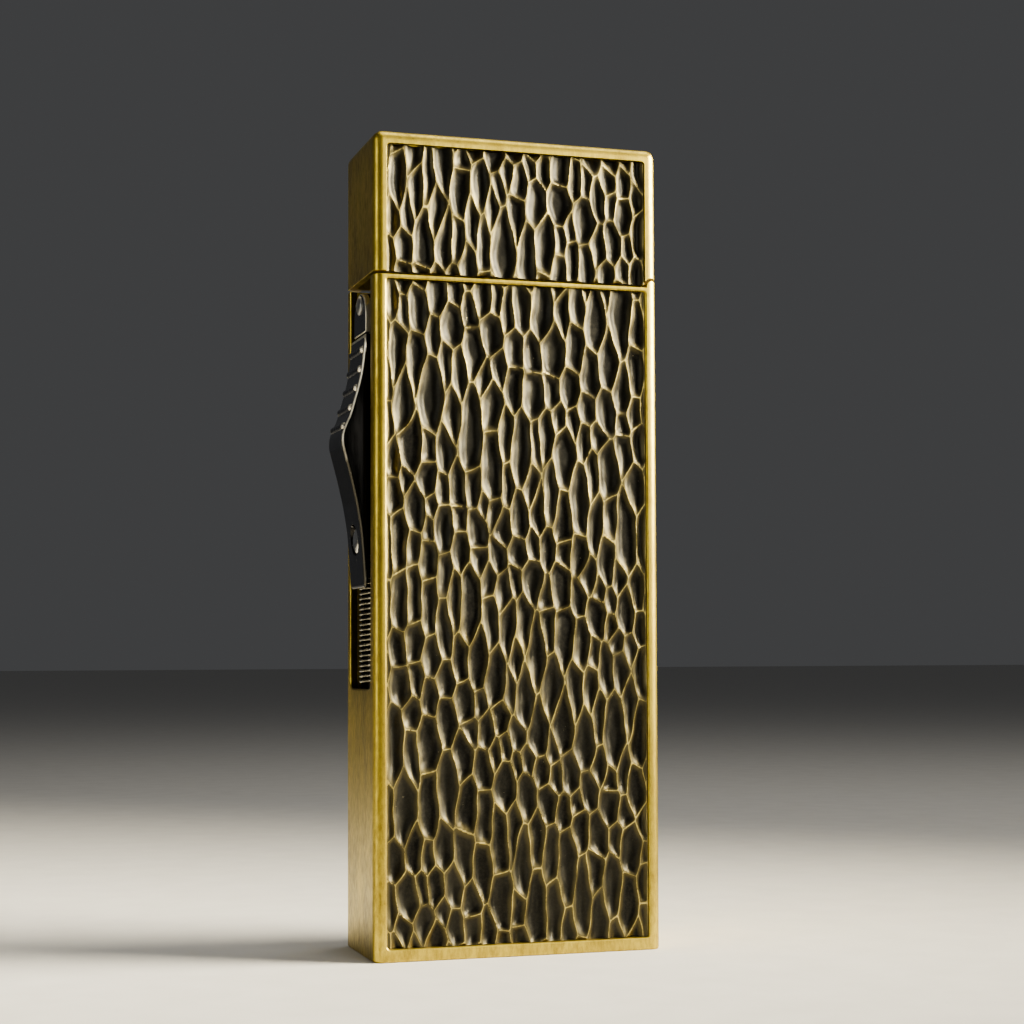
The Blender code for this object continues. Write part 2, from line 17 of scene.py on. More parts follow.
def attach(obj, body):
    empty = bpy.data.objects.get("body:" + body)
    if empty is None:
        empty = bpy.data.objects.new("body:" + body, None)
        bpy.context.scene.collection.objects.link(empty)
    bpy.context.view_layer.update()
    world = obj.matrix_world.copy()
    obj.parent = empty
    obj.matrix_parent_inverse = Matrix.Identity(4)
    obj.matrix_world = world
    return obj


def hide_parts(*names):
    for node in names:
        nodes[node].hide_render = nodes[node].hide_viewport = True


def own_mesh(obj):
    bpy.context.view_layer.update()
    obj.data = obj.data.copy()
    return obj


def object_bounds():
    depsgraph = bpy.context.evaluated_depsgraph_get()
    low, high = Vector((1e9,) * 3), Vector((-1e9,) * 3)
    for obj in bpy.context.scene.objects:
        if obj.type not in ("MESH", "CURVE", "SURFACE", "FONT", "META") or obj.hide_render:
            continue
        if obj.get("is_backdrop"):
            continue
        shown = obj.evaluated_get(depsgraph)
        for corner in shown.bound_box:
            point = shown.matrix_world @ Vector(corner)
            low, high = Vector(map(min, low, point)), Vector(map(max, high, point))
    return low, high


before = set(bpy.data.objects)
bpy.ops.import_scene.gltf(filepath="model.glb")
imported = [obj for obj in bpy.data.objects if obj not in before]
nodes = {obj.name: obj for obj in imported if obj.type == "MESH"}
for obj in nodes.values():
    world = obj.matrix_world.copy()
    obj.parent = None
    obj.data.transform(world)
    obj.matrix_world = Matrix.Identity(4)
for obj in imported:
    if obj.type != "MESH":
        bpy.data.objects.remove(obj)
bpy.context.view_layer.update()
MM = 0.001

# %% [markdown]
# ## Camera, floor and light
# The camera stands close by, a little below the lighter's middle, so its vertical edges stay upright
# but its wide face still narrows away from us. A 69 mm lens on a 36 mm sensor gives that. A small
# upward shift keeps the edges vertical, as a view camera would.

# %% Camera
eye = Vector((-55.0, -180.48, 28.06)) * MM
yaw, pitch, roll = 0.3012, 0.0461, -0.0035
aim = Vector((math.sin(yaw) * math.cos(pitch), math.cos(yaw) * math.cos(pitch), math.sin(pitch)))
lens = bpy.data.cameras.new("camera")
lens.lens, lens.sensor_width, lens.shift_y = 69.40, 36.0, 0.047
lens.clip_start = 0.01
camera = bpy.data.objects.new("camera", lens)
bpy.context.scene.collection.objects.link(camera)
camera.location = eye
camera.rotation_mode = "QUATERNION"
camera.rotation_quaternion = aim.to_track_quat("-Z", "Y")
camera.rotation_quaternion = camera.rotation_quaternion @ Matrix.Rotation(roll, 3, "Z").to_quaternion()
bpy.context.scene.camera = camera
print("camera", [round(v, 4) for v in eye], "looking along", [round(v, 3) for v in aim])

# %% [markdown]
# Two small helpers come first. One turns an sRGB hex colour into the linear numbers that a shader
# takes. The other adds a node, sets it and links it in one line, so a material reads like a recipe.

# %% Colour and node helpers
def linear(code):
    parts = [int(code[i:i + 2], 16) / 255 for i in (1, 3, 5)]
    return tuple(c / 12.92 if c <= 0.04045 else ((c + 0.055) / 1.055) ** 2.4 for c in parts) + (1.0,)


def add(tree, kind, settings=None, inputs=None):
    made = tree.nodes.new(kind)
    for key, value in (settings or {}).items():
        setattr(made, key, value)
    for key, value in (inputs or {}).items():
        if isinstance(value, bpy.types.NodeSocket):
            tree.links.new(value, made.inputs[key])
        else:
            made.inputs[key].default_value = value
    return made


def finish(name, **values):
    """A new material with its node tree and its shader, whose even values are set on its own sockets."""
    mat = bpy.data.materials.new(name)
    mat.use_nodes = True
    shader = mat.node_tree.nodes["Principled BSDF"]
    for key, value in values.items():
        shader.inputs[key.replace("_", " ").title()].default_value = value
    return mat, mat.node_tree, shader


def ramp(tree, factor, stops):
    made = add(tree, "ShaderNodeValToRGB", inputs={"Fac": factor})
    while len(made.color_ramp.elements) < len(stops):
        made.color_ramp.elements.new(0.5)
    for element, (position, value) in zip(made.color_ramp.elements, stops):
        element.position = position
        element.color = linear(value) if isinstance(value, str) else (value, value, value, 1.0)
    return made.outputs["Color"]


def mix(tree, factor, a, b):
    return add(tree, "ShaderNodeMix", {"data_type": "RGBA"}, {0: factor, 6: a, 7: b}).outputs[2]


def bump(tree, shader, height, strength, distance_mm):
    made = add(tree, "ShaderNodeBump", inputs={"Height": height, "Strength": strength,
                                               "Distance": distance_mm * MM})
    tree.links.new(made.outputs["Normal"], shader.inputs["Normal"])


def place(tree, stretch=(1.0, 1.0, 1.0)):
    """The piece's own coordinates in millimetres, stretched where a pattern runs one way."""
    spot = add(tree, "ShaderNodeTexCoord").outputs["Object"]
    return add(tree, "ShaderNodeMapping", inputs={
        "Vector": spot, "Scale": tuple(s / MM for s in stretch)}).outputs["Vector"]


print("brass hex #d0b638 is", [round(c, 3) for c in linear("#d0b638")])

# %% [markdown]
# The floor is a wide sheet of matte paper. The key is a square soft box to the right and in front. It is
# narrowed so that it falls off toward the foot of the lighter, and it rakes across the dents. The front
# box fills the wide face, the tall side box lights the lever, and the top box the upper edges.

# %% Floor and lights
FLOOR_HALF_M = 3.0
floor_mat, floor_tree, floor_shader = finish("matte_paper", roughness=0.85)
grain = add(floor_tree, "ShaderNodeTexNoise", inputs={"Vector": place(floor_tree, (0.2, 0.2, 0.2)),
                                                     "Scale": 1.0, "Detail": 3.0})
floor_tree.links.new(ramp(floor_tree, grain.outputs["Fac"], ((0.3, "#cfcdc8"), (0.7, "#d6d4cf"))),
                     floor_shader.inputs["Base Color"])
bm = bmesh.new()
bmesh.ops.create_grid(bm, x_segments=1, y_segments=1, size=FLOOR_HALF_M)
floor_mesh = bpy.data.meshes.new("floor")
bm.to_mesh(floor_mesh)
bm.free()
floor_mesh.materials.append(floor_mat)
floor = bpy.data.objects.new("floor", floor_mesh)
bpy.context.scene.collection.objects.link(floor)
floor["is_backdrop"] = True

world = bpy.data.worlds.new("studio")
bpy.context.scene.world = world
world.use_nodes = True
world.node_tree.nodes["Background"].inputs["Color"].default_value = linear("#8f9092")
world.node_tree.nodes["Background"].inputs["Strength"].default_value = 0.20


def soft_light(name, spot_mm, size_mm, watts, colour, aim_mm=(0, 0, 45)):
    data = bpy.data.lights.new(name, "AREA")
    data.shape, data.size, data.size_y = "RECTANGLE", size_mm[0] * MM, size_mm[1] * MM
    data.energy, data.color = watts, linear(colour)[:3]
    lamp = bpy.data.objects.new(name, data)
    bpy.context.scene.collection.objects.link(lamp)
    lamp.location = Vector(spot_mm) * MM
    lamp.rotation_euler = (Vector(aim_mm) * MM - lamp.location).to_track_quat("-Z", "Y").to_euler()
    return lamp


key = soft_light("key", (190, -72, 140), (130, 130), 0.95, "#fff3d6", (0, -6, 74))
key.data.spread = math.radians(52)
soft_light("front", (130, -390, 150), (170, 170), 0.42, "#fffcf4", (0, 0, 60))
soft_light("side", (-300, -100, 95), (60, 200), 0.24, "#fffdf6")
soft_light("top", (70, 10, 360), (200, 200), 0.6, "#fffaf0")

# %% [markdown]
# ## Finishes
# The case is solid brass that was tumbled and then aged: the sheet keeps a soft grain, the metal is
# warm where hands polish it, and a thin brown tarnish gathers in clouds and short upright streaks.

# %% Antique brass
def antique_brass(name, streak=(1.5, 1.5, 0.5), bright="#d0b638", tarnish="#786420", rough=(0.28, 0.44)):
    mat, tree, shader = finish(name, metallic=1.0)
    spot = place(tree)
    clouds = add(tree, "ShaderNodeTexNoise", inputs={"Vector": place(tree, (0.35, 0.35, 0.12)), "Scale": 1.0,
                                                     "Detail": 4.0, "Roughness": 0.6})
    streaks = add(tree, "ShaderNodeTexNoise", inputs={"Vector": place(tree, streak), "Scale": 2.2,
                                                      "Detail": 5.0, "Roughness": 0.65})
    specks = add(tree, "ShaderNodeTexNoise", inputs={"Vector": spot, "Scale": 7.0, "Detail": 2.0})
    wear = mix(tree, 0.5, ramp(tree, clouds.outputs["Fac"], ((0.35, 0.0), (0.68, 1.0))),
               ramp(tree, streaks.outputs["Fac"], ((0.38, 0.0), (0.66, 1.0))))
    body = mix(tree, wear, linear(bright), linear(tarnish))
    body = mix(tree, ramp(tree, specks.outputs["Fac"], ((0.62, 0.0), (0.75, 0.35))), body, linear("#5f5428"))
    tree.links.new(body, shader.inputs["Base Color"])
    gloss = add(tree, "ShaderNodeMapRange", inputs={0: streaks.outputs["Fac"], 1: 0.3, 2: 0.7, 3: rough[0],
                                                    4: rough[1]})
    tree.links.new(gloss.outputs[0], shader.inputs["Roughness"])
    height = mix(tree, 0.5, streaks.outputs["Fac"], specks.outputs["Fac"])
    bump(tree, shader, height, 0.25, 0.02)
    return mat


case_brass = antique_brass("tumbled_aged_brass")
# The slot's walls get a near-black copy of the brass: painted shade inside the narrow slot.
slot_painted_shade = antique_brass("slot_wall_brass_painted_shade", (1.0, 1.0, 0.5), "#3f3518", "#211c10", (0.4, 0.55))
turned_brass = antique_brass("turned_brass", (0.3, 0.3, 2.0), "#d2b84e", "#9a8430", (0.24, 0.34))
print("brass finishes:", case_brass.name, turned_brass.name)

# %% [markdown]
# The inlays are brass sheet struck all over with a long narrow punch, blackened in a bath, and then
# rubbed. The rub reaches the thin ridges between the dents and leaves the dents dark and grainy. Each
# inlay mesh carries two numbers at every point, the distance to the nearest ridge and a tone for its
# dent, and the finish reads both.

# %% Blackened and relieved brass
def relieved_brass():
    mat, tree, shader = finish("blackened_relieved_brass", metallic=1.0)
    spot = place(tree)
    edge = add(tree, "ShaderNodeAttribute", {"attribute_name": "ridge_mm"}).outputs["Fac"]
    tone = add(tree, "ShaderNodeAttribute", {"attribute_name": "dent_tone"}).outputs["Fac"]
    grit = add(tree, "ShaderNodeTexNoise", inputs={"Vector": spot, "Scale": 3.5, "Detail": 4.0,
                                                   "Roughness": 0.7})
    rub = add(tree, "ShaderNodeTexNoise", inputs={"Vector": spot, "Scale": 0.45, "Detail": 2.0})
    pits = add(tree, "ShaderNodeTexNoise", inputs={"Vector": spot, "Scale": 4.6, "Detail": 1.0})
    uneven = add(tree, "ShaderNodeMath", {"operation": "MULTIPLY_ADD"},
                 {0: grit.outputs["Fac"], 1: 0.07, 2: edge})
    uneven = add(tree, "ShaderNodeMath", {"operation": "MULTIPLY_ADD"},
                 {0: rub.outputs["Fac"], 1: 0.11, 2: uneven.outputs[0]})
    # Full rub on the ridge itself, mostly gone a tenth of a millimetre away from it.
    bare = ramp(tree, uneven.outputs[0], ((0.072, 1.0), (0.102, 0.50), (0.136, 0.10), (0.50, 0.0)))
    dark = mix(tree, tone, linear("#141412"), linear("#25241f"))
    dark = mix(tree, ramp(tree, grit.outputs["Fac"], ((0.42, 0.0), (0.72, 0.5))), dark, linear("#35322a"))
    dark = mix(tree, ramp(tree, pits.outputs["Fac"], ((0.80, 0.0), (0.84, 0.7))), dark, linear("#a79b7a"))
    tree.links.new(mix(tree, bare, dark, linear("#c2ae60")), shader.inputs["Base Color"])
    gloss = add(tree, "ShaderNodeMapRange", inputs={0: bare, 3: 0.43, 4: 0.38})
    tree.links.new(gloss.outputs[0], shader.inputs["Roughness"])
    bump(tree, shader, grit.outputs["Fac"], 0.35, 0.03)
    return mat


inlay_brass = relieved_brass()
print("inlay finish:", inlay_brass.name)

# %% [markdown]
# The lever, its strap, both liners and the deck are plated with black nickel, a dark mirror. The plate
# wears pale on sharp edges, and on the lever and its strap that pale edge colour is also a painted
# highlight; the flats keep the faint lines of the polishing wheel. The grip bars get a darker copy of the
# nickel as painted shade. Steel pieces are brushed or drawn, which blurs what they mirror along one
# direction. The flint and the seal are dull, because one is pressed from powder and the other is moulded.
# The felt and the cotton are matt and fuzzy, which is what their sheen gives.

# %% Black nickel, steels and small finishes
def plated(name, colour, rough, grain_mm=0.5, stretch=(1.0, 1.0, 0.15), depth=0.006, metallic=1.0):
    mat, tree, shader = finish(name, metallic=metallic)
    lines = add(tree, "ShaderNodeTexNoise", inputs={"Vector": place(tree, stretch), "Scale": 1 / grain_mm,
                                                    "Detail": 4.0, "Roughness": 0.6})
    low, high = linear(colour[0]), linear(colour[1])
    tree.links.new(mix(tree, ramp(tree, lines.outputs["Fac"], ((0.35, 0.0), (0.68, 1.0))), low, high),
                   shader.inputs["Base Color"])
    gloss = add(tree, "ShaderNodeMapRange", inputs={0: lines.outputs["Fac"], 1: 0.3, 2: 0.7, 3: rough[0],
                                                    4: rough[1]})
    tree.links.new(gloss.outputs[0], shader.inputs["Roughness"])
    bump(tree, shader, lines.outputs["Fac"], 0.3, depth)
    return mat


black_nickel = plated("black_nickel", ("#121110", "#1f1e1c"), (0.14, 0.24))


def rubbed_and_highlit_edge():
    """The lever's edges: pale above the hump, partly metal rubbed bare where the thumb slides and partly a
    painted highlight along the rounded edge; still half dark below the hump.
    """
    mat, tree, shader = finish("black_nickel_rubbed_edge_painted_highlight", metallic=1.0, roughness=0.38)
    height = add(tree, "ShaderNodeSeparateXYZ", inputs={"Vector": place(tree)}).outputs["Z"]
    patchy = add(tree, "ShaderNodeTexNoise", inputs={"Vector": place(tree), "Scale": 1.2, "Detail": 3.0})
    where = add(tree, "ShaderNodeMath", {"operation": "MULTIPLY_ADD"},
                {0: patchy.outputs["Fac"], 1: 6.0, 2: height})
    # Pale from the hump upward, dark below it: partly rubbed metal, partly a painted highlight along the
    # edge.
    share = add(tree, "ShaderNodeMapRange", inputs={0: where.outputs[0], 1: 48.5, 2: 52.5})
    tree.links.new(mix(tree, share.outputs[0], linear("#4b473c"), linear("#f2e9cf")),
                   shader.inputs["Base Color"])
    return mat


edge_nickel = rubbed_and_highlit_edge()
# The grip bars get a darker copy of the lever's black nickel: painted shade, so the bars read unlit.
grip_painted_shade_nickel = plated("nickel_grip_darkened_painted_shade", ("#0c0b0a", "#151412"), (0.22, 0.30))
satin_steel = plated("satin_steel", ("#8d8b86", "#b3b1ab"), (0.28, 0.42), 0.3)
wheel_steel = plated("hardened_wheel_steel", ("#4c4a47", "#6b6965"), (0.30, 0.45), 0.2, (1.0, 0.15, 1.0))
bright_screw = plated("polished_screw_nickel", ("#dedbd0", "#f6f3e9"), (0.10, 0.16))
spring_wire = plated("drawn_spring_wire", ("#4f4a3e", "#8d8672"), (0.18, 0.30), 0.2)
tin_plate = plated("bright_tin_plate", ("#9b9a94", "#bcbab2"), (0.25, 0.40), 0.8, (1.0, 1.0, 0.3))
EVEN = (1.0, 1.0, 1.0)
ferrocerium = plated("pressed_ferrocerium", ("#2e2d2f", "#4a494b"), (0.55, 0.75), 0.15, EVEN, 0.02, 0.7)
nitrile = plated("moulded_nitrile", ("#141414", "#1d1d1c"), (0.45, 0.6), 0.6, EVEN, 0.004, 0.0)


def woven(name, low, high, thread_mm, fuzz=0.4):
    mat, tree, shader = finish(name, roughness=0.92, sheen_weight=fuzz, sheen_roughness=0.4)
    spot = place(tree)
    fibre = add(tree, "ShaderNodeTexNoise", inputs={"Vector": spot, "Scale": 1 / thread_mm, "Detail": 5.0,
                                                    "Roughness": 0.7})
    shade = ramp(tree, fibre.outputs["Fac"], ((0.3, 0.0), (0.7, 1.0)))
    tree.links.new(mix(tree, shade, linear(low), linear(high)), shader.inputs["Base Color"])
    bump(tree, shader, fibre.outputs["Fac"], 0.7, 0.08)
    return mat


felt = woven("pressed_felt", "#5b564c", "#8a8476", 0.25)
cotton = woven("loose_cotton", "#cfc9bb", "#efeadf", 0.6, 0.6)
wick_cord = woven("charred_wick_cotton", "#8f8776", "#c9c1ae", 0.3)
print("finishes made:", len(bpy.data.materials))

# %% [markdown]
# ## Working with meshes
# A CAD piece arrives as loose triangles. To refine one, its mesh is copied, the corners are merged, flat
# neighbours are joined back into whole faces, and chosen edges are rounded. A new piece is made with
# bmesh operators and measured in millimetres until the last step.

# %% Mesh helpers
def settle(name, bm, mat, body, replaced=(), angle=32, weighted=True, scale=MM, mats=()):
    """The finished bmesh becomes a piece: at the origin, smooth where round, riding on its body."""
    if scale != 1:
        bmesh.ops.scale(bm, vec=(scale,) * 3, verts=bm.verts)
    mesh = bpy.data.meshes.new(name)
    bm.to_mesh(mesh)
    bm.free()
    mesh.shade_smooth()
    mesh.set_sharp_from_angle(angle=math.radians(angle))
    for each in (mat, *mats):
        mesh.materials.append(each)
    piece = bpy.data.objects.new(name, mesh)
    bpy.context.scene.collection.objects.link(piece)
    if weighted:
        even = piece.modifiers.new("even_normals", "WEIGHTED_NORMAL")
        even.keep_sharp = True
    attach(piece, body)
    if replaced:
        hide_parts(*replaced)
    return piece


def whole(node):
    """A merged copy of a CAD node in millimetres, its flat triangles joined back into faces."""
    bm = bmesh.new()
    bm.from_mesh(nodes[node].data)
    bmesh.ops.scale(bm, vec=(1 / MM,) * 3, verts=bm.verts)
    bmesh.ops.remove_doubles(bm, verts=bm.verts, dist=0.002)
    bmesh.ops.dissolve_limit(bm, angle_limit=math.radians(1.0), use_dissolve_boundaries=False,
                             verts=bm.verts, edges=bm.edges)
    return bm


def soften(bm, width, segments, chosen):
    """Rounds the edges that turn by more than 40 degrees and that the rule chooses by their middle."""
    picked = []
    for edge in bm.edges:
        if len(edge.link_faces) == 2 and edge.calc_face_angle() > math.radians(40):
            if chosen((edge.verts[0].co + edge.verts[1].co) / 2):
                picked.append(edge)
    bmesh.ops.bevel(bm, geom=picked, offset=width, segments=segments, profile=0.5, affect="EDGES",
                    material=-1, clamp_overlap=True)
    return len(picked)


def curve_through(points, steps):
    """A smooth outline through a few points, each span cut into steps."""
    made = []
    for i in range(len(points) - 1):
        p0, p1, p2, p3 = (Vector(points[max(0, min(len(points) - 1, i + k))]) for k in (-1, 0, 1, 2))
        for k in range(steps):
            t = k / steps
            made.append(0.5 * (2 * p1 + (p2 - p0) * t + (2 * p0 - 5 * p1 + 4 * p2 - p3) * t * t
                               + (3 * p1 - p0 - 3 * p2 + p3) * t ** 3))
    return made + [Vector(points[-1])]


def cross_bar(radius, centre, start, end, segments, end_round, steps):
    """A round bar across the lighter, along Y, its ends rounded over."""
    bm = bmesh.new()
    bmesh.ops.create_cone(bm, cap_ends=True, segments=segments, radius1=radius, radius2=radius,
                          depth=end - start)
    rims = [e for e in bm.edges if abs(e.verts[0].co.z - e.verts[1].co.z) < 1e-6]
    bmesh.ops.bevel(bm, geom=rims, offset=end_round, segments=steps, profile=0.5, affect="EDGES",
                    material=-1)
    middle = (centre[0], (start + end) / 2, centre[1])
    bm.transform(Matrix.Translation(middle) @ Matrix.Rotation(math.radians(-90), 4, "X"))
    return bm


def gather(*parts):
    """Several bmeshes as one."""
    out = bmesh.new()
    for bm in parts:
        loose = bpy.data.meshes.new("loose")
        bm.to_mesh(loose)
        bm.free()
        out.from_mesh(loose)
        bpy.data.meshes.remove(loose)
    return out


print("a CAD case copy has", len(whole("case_body").faces), "faces")

# %% [markdown]
# ## Case and lid
# Both shells are the CAD shapes with their edges eased. A polished frame like this is finished on a
# felt wheel, so the rim of each window is rounded over and the frame reads almost as a half-round bead,
# while the rims at the seam are only just broken, to close tight.

# %% Case shell
FACE_Y, SIDE_X, BODY_TOP, LID_LOW = 5.85, 13.85, 62.65, 62.95
WINDOW_HALF, WINDOW_LOW, WINDOW_HIGH, LID_WINDOW_HIGH = 12.65, 1.2, 62.25, 74.8
WINDOW_R, FRAME_EASE = 0.8, 0.24


def on_face(p):
    return abs(abs(p.y) - FACE_Y) < 0.02


def in_window(p, low, high):
    return on_face(p) and abs(p.x) < 12.8 and low < p.z < high


def tighten_corners(bm, radius, z_edge, up):
    """The window's corners along this edge get a smaller radius than the CAD's."""
    inside = WINDOW_R + 0.01
    for vert in bm.verts:
        x, z = abs(vert.co.x) - (WINDOW_HALF - WINDOW_R), up * (vert.co.z - z_edge) + WINDOW_R
        if 4.8 < abs(vert.co.y) < 5.9 and -0.01 < x < inside and -0.01 < z < inside:
            vert.co.x = math.copysign(WINDOW_HALF - radius + x * radius / WINDOW_R, vert.co.x)
            vert.co.z = z_edge + up * (z * radius / WINDOW_R - radius)


def on_rim(p):
    return on_face(p) or abs(p.x) > SIDE_X - 0.9


bm = whole("case_body")
tighten_corners(bm, 0.2, WINDOW_HIGH, 1)
tighten_corners(bm, 0.35, WINDOW_LOW, -1)
rims = soften(bm, 0.10, 2, lambda p: abs(p.z - BODY_TOP) < 0.02 and on_rim(p))
frames = soften(bm, FRAME_EASE, 4, lambda p: in_window(p, WINDOW_LOW - 0.2, WINDOW_HIGH + 0.15))
slots = soften(bm, 0.20, 3, lambda p: p.x < -SIDE_X + 0.02 and 24.0 < p.z < 62.5)
base = soften(bm, 0.25, 3, lambda p: p.z < 0.01 and on_rim(p))
print("eased edges on the case:", rims, frames, slots, base)
# The faces of the slot's walls take the second finish, the near-black painted shade.
dark = 0
for face in bm.faces:
    middle = face.calc_center_median()
    inside = -13.8 < middle.x < -12.9 and abs(middle.y) < 4.4 and 24.2 < middle.z < 62.5
    if inside and abs(face.normal.x) < 0.3:
        face.material_index, dark = 1, dark + 1
print("faces of the slot's walls left dark:", dark)
settle("case_shell", bm, case_brass, "case", ["case_body"], mats=(slot_painted_shade,))

# %% Lid cover
bm = whole("lid_shell")
tighten_corners(bm, 0.35, LID_WINDOW_HIGH, 1)
rims = soften(bm, 0.08, 2, lambda p: abs(p.z - LID_LOW) < 0.02 and on_rim(p))
frames = soften(bm, FRAME_EASE, 4, lambda p: in_window(p, LID_LOW + 0.02, LID_WINDOW_HIGH + 0.2))
print("eased edges on the lid:", rims, frames)
settle("lid_cover", bm, case_brass, "lid", ["lid_shell"])

# %% [markdown]
# ## The hammered inlays
# Each dent is the mark of one blow. Where two marks meet, a thin ridge is left standing, so the dents
# tile the sheet like stretched cells. The seeds of the cells are dropped at random, farther apart where
# a heavy blow fell. The cells are two to three times as tall as they are wide, because the punch is long
# and narrow. A fine grid is then pressed down by the distance to the nearest ridge: steep at the side, flat
# and a little uneven at the bottom. Points next to a ridge are slid onto it, so the ridge stays crisp.

# %% Cells of the hammered sheet
STRETCH, SPREAD = 2.6, 0.8
PANEL_HALF, PANEL_BACK = 12.62, 4.87
RIDGE_Y, DENT_DEPTH, SLOPE_W = 5.54, 0.45, 0.98
STEP_X, STEP_Z = 0.090, 0.190


def drop_seeds(rng, x0, x1, z0, z1):
    """Cell centres as (x, z, reach): dropped at random, kept apart, then evened out a little."""
    kept = []
    for tries, low, high in ((150, 1.02, 1.22), (3200, 0.74, 0.96), (9000, 0.50, 0.70)):
        for _ in range(tries):
            x, z = rng.uniform(x0 - 2, x1 + 2), rng.uniform(z0 - 4, z1 + 4)
            reach = rng.uniform(low, high)
            if all((x - a) ** 2 + ((z - b) / STRETCH) ** 2 > (SPREAD * (reach + r)) ** 2
                   for a, b, r in kept):
                kept.append((x, z, reach))
    made = np.array(kept)
    u, v = np.meshgrid(np.arange(x0 - 2, x1 + 2, 0.16),
                       np.arange((z0 - 4) / STRETCH, (z1 + 4) / STRETCH, 0.16))
    u, v = u.ravel(), v.ravel()
    for _ in range(2):
        near = np.argmin((u[:, None] - made[:, 0]) ** 2 + (v[:, None] - made[:, 1] / STRETCH) ** 2
                         - (SPREAD * made[:, 2]) ** 2, axis=1)
        count = np.maximum(np.bincount(near, minlength=len(made)), 1)
        made[:, 0] += 0.6 * (np.bincount(near, u, len(made)) / count - made[:, 0])
        made[:, 1] += 0.6 * (np.bincount(near, v * STRETCH, len(made)) / count - made[:, 1])
    return made


def ridge_field(x, z, seeds, width):
    """For each point: its cell, how open the bowl is there (0 on a ridge, 1 in the middle), the distance
    to the nearest ridge and the direction to it. The bowl is a product over the sides, so its corners
    come out round."""
    su, sv, reach = seeds[:, 0], seeds[:, 1] / STRETCH, seeds[:, 2]
    found = []
    for start in range(0, len(x), 8192):
        u, v = x[start:start + 8192, None], z[start:start + 8192, None] / STRETCH
        power = (u - su) ** 2 + (v - sv) ** 2 - (SPREAD * reach) ** 2
        near = np.argmin(power, axis=1)
        rows = np.arange(len(u))
        du, dv = su - su[near][:, None], sv - sv[near][:, None]
        slope = 2 * np.sqrt(du ** 2 + (dv / STRETCH) ** 2)
        slope[rows, near] = np.inf
        far = (power - power[rows, near][:, None]) / slope
        far[rows, near] = np.inf
        other = np.argmin(far, axis=1)
        away = np.stack([du[rows, other], dv[rows, other] / STRETCH], 1)
        away /= np.linalg.norm(away, axis=1)[:, None]
        bowl = np.prod(1 - (1 - np.clip(far / width[near][:, None], 0, 1)) ** 2, axis=1)
        found.append((near, bowl, far[rows, other], away))
    return [np.concatenate(each) for each in zip(*found)]


rng = np.random.default_rng(41)
seeds = drop_seeds(rng, -12.6, 12.6, WINDOW_LOW, 75.0)
tones = rng.uniform(0, 1, len(seeds))
leans = rng.normal(0, 0.025, (len(seeds), 2))
print("dents struck over the whole face:", len(seeds))


# %% One inlay panel
def hammered_panel(name, side, z0, z1, body, node):
    bm = bmesh.new()
    bmesh.ops.create_grid(bm, x_segments=int(2 * PANEL_HALF / STEP_X), y_segments=int((z1 - z0) / STEP_Z),
                          size=1.0)
    mesh = bpy.data.meshes.new(name)
    bm.to_mesh(mesh)
    bm.free()
    co = np.empty(len(mesh.vertices) * 3)
    mesh.vertices.foreach_get("co", co)
    co = co.reshape(-1, 3)
    x, z = co[:, 0] * PANEL_HALF, z0 + (co[:, 1] + 1) / 2 * (z1 - z0)
    inner = (np.abs(co[:, 0]) < 0.9999) & (np.abs(co[:, 1]) < 0.9999)
    turn = 1 if side < 0 else -1
    # The punch was held by hand, so no ridge runs quite straight.
    bent_x = turn * x + 0.09 * np.sin(0.75 * z + 1.3 * turn * x) + 0.035 * np.sin(2.4 * z - 1.1 * turn * x)
    bent_z = z + 1.0 * np.sin(0.34 * z + 0.22 * turn * x) + 0.14 * np.sin(1.2 * turn * x + 0.3 * z)
    near, bowl, gap, away = ridge_field(bent_x, bent_z, seeds, SLOPE_W * (0.8 + 0.4 * tones))
    snap = inner & (gap < 0.5 * (np.abs(away[:, 0]) * STEP_X + np.abs(away[:, 1]) * STEP_Z))
    x = np.where(snap, x + turn * away[:, 0] * gap, x)
    z = np.where(snap, z + away[:, 1] * gap, z)
    gap, bowl = np.where(snap, 0.0, gap), np.where(snap, 0.0, bowl)
    gap = np.minimum(gap, np.maximum(PANEL_HALF - np.abs(x), 0.0) * 0.9)
    tone = tones[near]
    edge = np.clip(1.15 * (PANEL_HALF - np.abs(x)) / SLOPE_W, 0, 1)
    share = bowl * (1 - (1 - edge) ** 2)
    dent = DENT_DEPTH * (0.8 + 0.4 * tone) * share
    tilt = share * (leans[near, 0] * (turn * x - seeds[near, 0])
                    + 0.4 * leans[near, 1] * (z - seeds[near, 1]))
    wave = 0.006 * np.sin(4.1 * x + 2.3 * z + 9 * tone) + 0.005 * np.sin(5.3 * z - 3.7 * x + 5 * tone)
    crest = 0.035 * np.sin(0.9 * x + 0.37 * z) + 0.03 * np.sin(1.7 * x - 0.83 * z)
    y = side * (RIDGE_Y + crest - dent + tilt + wave * share)
    mesh.vertices.foreach_set("co", (np.stack([x, y, z], 1) * MM).astype(np.float32).ravel())
    for title, values in (("ridge_mm", gap), ("dent_tone", tone)):
        mesh.attributes.new(title, "FLOAT", "POINT").data.foreach_set("value", values.astype(np.float32))
    bm = bmesh.new()
    bm.from_mesh(mesh)
    bpy.data.meshes.remove(mesh)
    grown = bmesh.ops.extrude_edge_only(bm, edges=[e for e in bm.edges if e.is_boundary])["geom"]
    for vert in (g for g in grown if isinstance(g, bmesh.types.BMVert)):
        vert.co.y = side * PANEL_BACK * MM
    bmesh.ops.holes_fill(bm, edges=[e for e in bm.edges if e.is_boundary], sides=0)
    bmesh.ops.recalc_face_normals(bm, faces=bm.faces)
    print(name, "floor to ridge:", round(float(np.abs(y).min()), 2), round(float(np.abs(y).max()), 2), "mm")
    return settle(name, bm, inlay_brass, body, [node], angle=80, weighted=False, scale=1)


